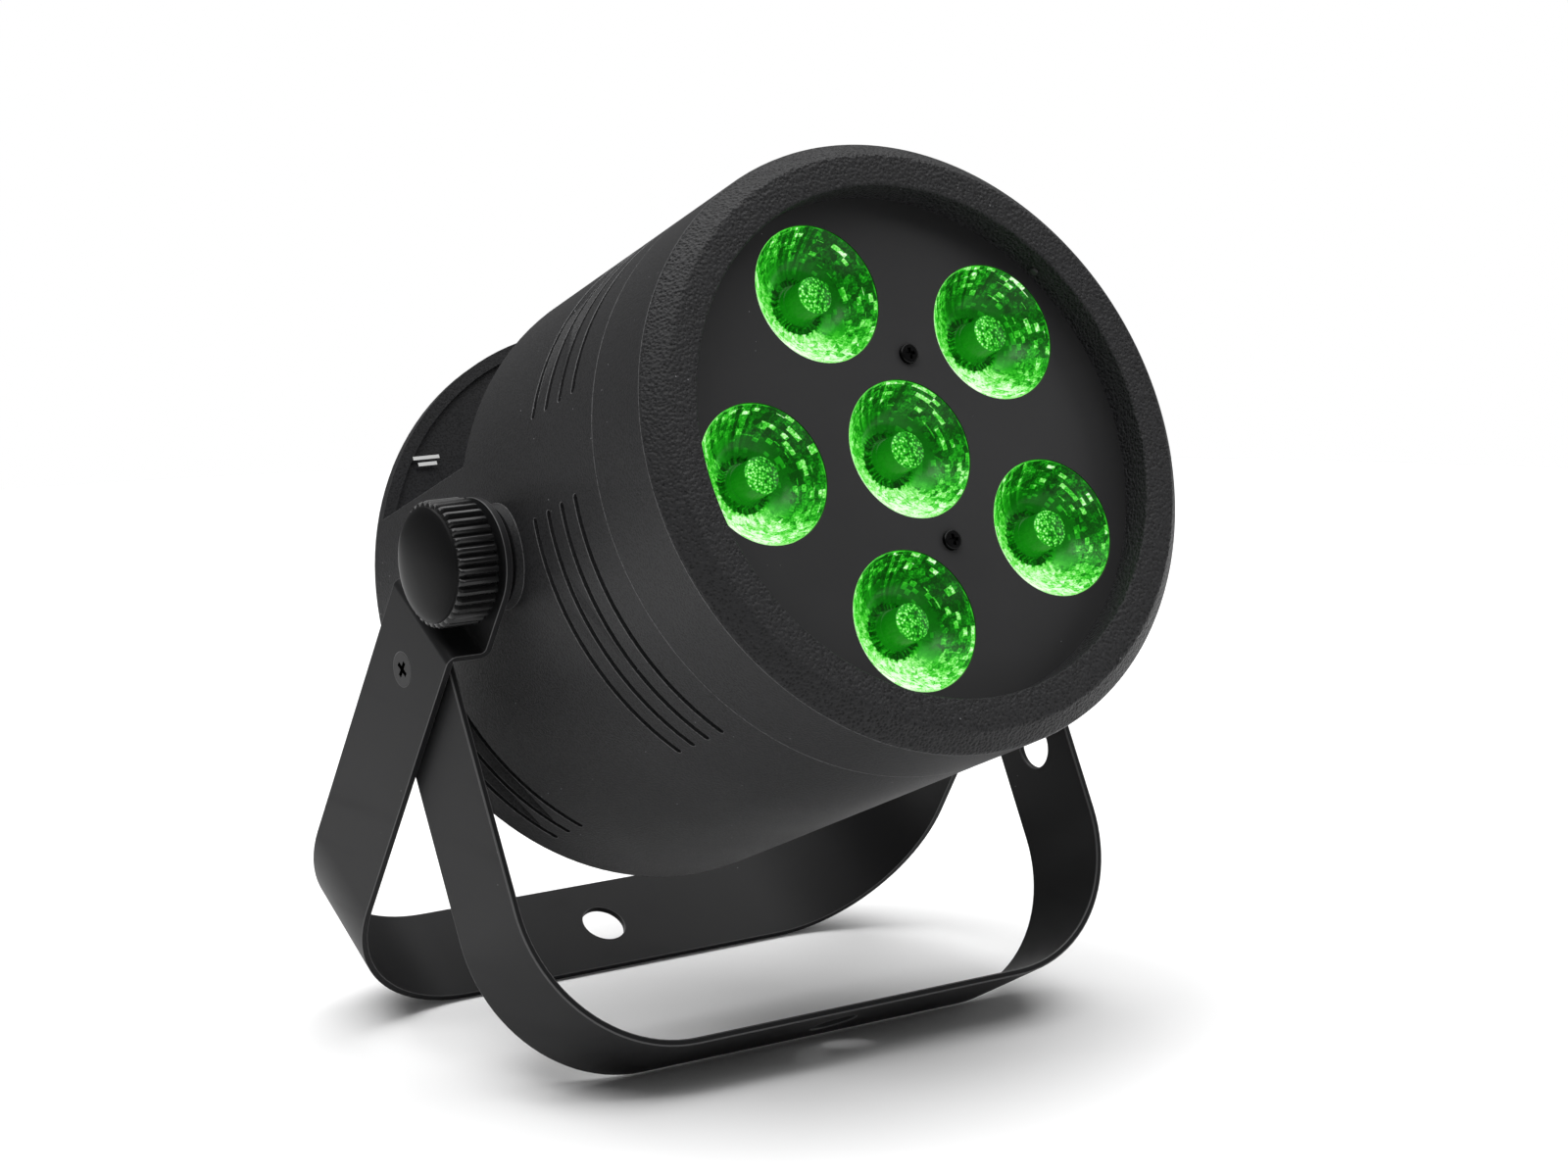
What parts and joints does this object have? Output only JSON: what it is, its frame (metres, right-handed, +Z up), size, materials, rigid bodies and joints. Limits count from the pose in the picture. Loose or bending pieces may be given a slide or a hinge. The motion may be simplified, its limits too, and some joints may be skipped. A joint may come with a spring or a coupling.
{
  "type": "par can light",
  "caption": "Compact black LED par can stage light with green lit lenses, tilting on a ribbed-knob yoke and standing on a second fold-out bracket.",
  "frame": {"origin": "centre of the bounding box on the floor plane", "axes": "+Z up, -Y the way the lamp faces (tipped up at rest), +X along the tilt and stand pivots, towards the safety bond hole"},
  "size_m": [0.2248, 0.2238, 0.2635],
  "materials": {
    "can_black": "fine matte grain",
    "bezel_black": "coarse wrinkle grain",
    "plate_black": "smooth satin paint",
    "strip_black": "fine powder coat",
    "knob_black": "satin moulded",
    "rubber_black": "matt",
    "screw_black": "black oxide",
    "steel": "zinc plated",
    "sink_aluminium": "extruded",
    "lens_clear": "clear optical resin, lit green",
    "emitter": "lit green",
    "board_white": "white solder mask",
    "board_green": "green solder mask",
    "holder_black": "moulded",
    "window_smoke": "smoked clear",
    "display_dark": "display face",
    "socket_blue": "moulded",
    "socket_grey": "moulded",
    "socket_black": "moulded",
    "pin_brass": "tinned contact",
    "fuse_glass": "glass tube",
    "wire_red": "flexible insulation",
    "key_grey": "moulded key"
  },
  "bodies": {
    "yoke": {"main_yoke": "strip_black", "pivot_screws": "screw_black", "pivot_nuts": "steel", "pivot_washers": "holder_black"},
    "head": {"bezel_ring": "bezel_black", "front_collar": "can_black", "front_plate": "plate_black", "plate_gasket": "rubber_black", "lenses": "lens_clear", "lens_holders": "holder_black", "led_chips": "emitter", "led_board": "board_white", "heat_sink": "sink_aluminium", "plate_standoffs": "steel", "plate_screws": "screw_black", "sink_screws": "steel", "can_shell": "can_black", "tilt_inserts": "steel", "rear_cover": "can_black", "cover_screws": "screw_black", "display_window": "window_smoke", "display_module": "display_dark", "control_board": "board_green", "control_posts": "steel", "switch_bodies": "socket_black", "connector_panel": "plate_black", "power_inlet": "socket_blue", "power_outlet": "socket_grey", "signal_in_body": "socket_black", "signal_in_pins": "pin_brass", "signal_out_body": "socket_black", "connector_screws": "screw_black", "fuse_holder": "socket_black", "supply_tray": "steel", "driver_board": "board_green", "wire_harness": "wire_red", "friction_rings": "rubber_black"},
    "stand": {"stand_bracket": "strip_black"},
    "left_washer": {"knob_washer_left": "steel"},
    "right_washer": {"knob_washer_right": "steel"},
    "left_knob": {"knob_left": "knob_black", "knob_stud_left": "steel"},
    "right_knob": {"knob_right": "knob_black", "knob_stud_right": "steel"},
    "fuse": {"fuse_cap": "socket_black", "fuse_link": "fuse_glass"},
    "latch": {"signal_out_latch": "key_grey"},
    "key_1": {"menu_button_1": "key_grey"},
    "key_2": {"menu_button_2": "key_grey"},
    "key_3": {"menu_button_3": "key_grey"},
    "key_4": {"menu_button_4": "key_grey"}
  },
  "joints": [
    {"name": "head_tilt", "type": "hinge", "parent": "yoke", "child": "head", "pos_m": [0, 0.00657, 0.15049], "axis": [1, 0, 0], "range_deg": [-66.8, 113.2]},
    {"name": "stand_swing", "type": "hinge", "parent": "yoke", "child": "stand", "pos_m": [0, 0.02977, 0.11713], "axis": [1, 0, 0], "range_deg": [-10, 60.2]},
    {"name": "left_knob_travel", "type": "slide", "parent": "yoke", "child": "left_washer", "axis": [-1, 0, 0], "range_m": [0, 0.0025]},
    {"name": "left_knob_turn", "type": "hinge", "parent": "left_washer", "child": "left_knob", "pos_m": [0, 0.00657, 0.15049], "axis": [-1, 0, 0], "range_deg": [0, 720]},
    {"name": "right_knob_travel", "type": "slide", "parent": "yoke", "child": "right_washer", "axis": [1, 0, 0], "range_m": [0, 0.0025]},
    {"name": "right_knob_turn", "type": "hinge", "parent": "right_washer", "child": "right_knob", "pos_m": [0, 0.00657, 0.15049], "axis": [1, 0, 0], "range_deg": [0, 720]},
    {"name": "fuse_lift", "type": "slide", "parent": "head", "child": "fuse", "axis": [0, 0.3939, 0.9192], "range_m": [0, 0.03]},
    {"name": "latch_press", "type": "slide", "parent": "head", "child": "latch", "axis": [0, -0.3939, -0.9192], "range_m": [0, 0.0018], "stiffness_N_per_m": 900, "springref_m": -0.0006},
    {"name": "key_1_press", "type": "slide", "parent": "head", "child": "key_1", "axis": [0, -0.9192, 0.3939], "range_m": [0, 0.0006], "stiffness_N_per_m": 1500, "springref_m": -0.0003},
    {"name": "key_2_press", "type": "slide", "parent": "head", "child": "key_2", "axis": [0, -0.9192, 0.3939], "range_m": [0, 0.0006], "stiffness_N_per_m": 1500, "springref_m": -0.0003},
    {"name": "key_3_press", "type": "slide", "parent": "head", "child": "key_3", "axis": [0, -0.9192, 0.3939], "range_m": [0, 0.0006], "stiffness_N_per_m": 1500, "springref_m": -0.0003},
    {"name": "key_4_press", "type": "slide", "parent": "head", "child": "key_4", "axis": [0, -0.9192, 0.3939], "range_m": [0, 0.0006], "stiffness_N_per_m": 1500, "springref_m": -0.0003}
  ],
  "couplings": [
    {"joint": "left_knob_travel", "follows": "left_knob_turn", "m_per_rad": 0.00019894},
    {"joint": "right_knob_travel", "follows": "right_knob_turn", "m_per_rad": 0.00019894}
  ]
}
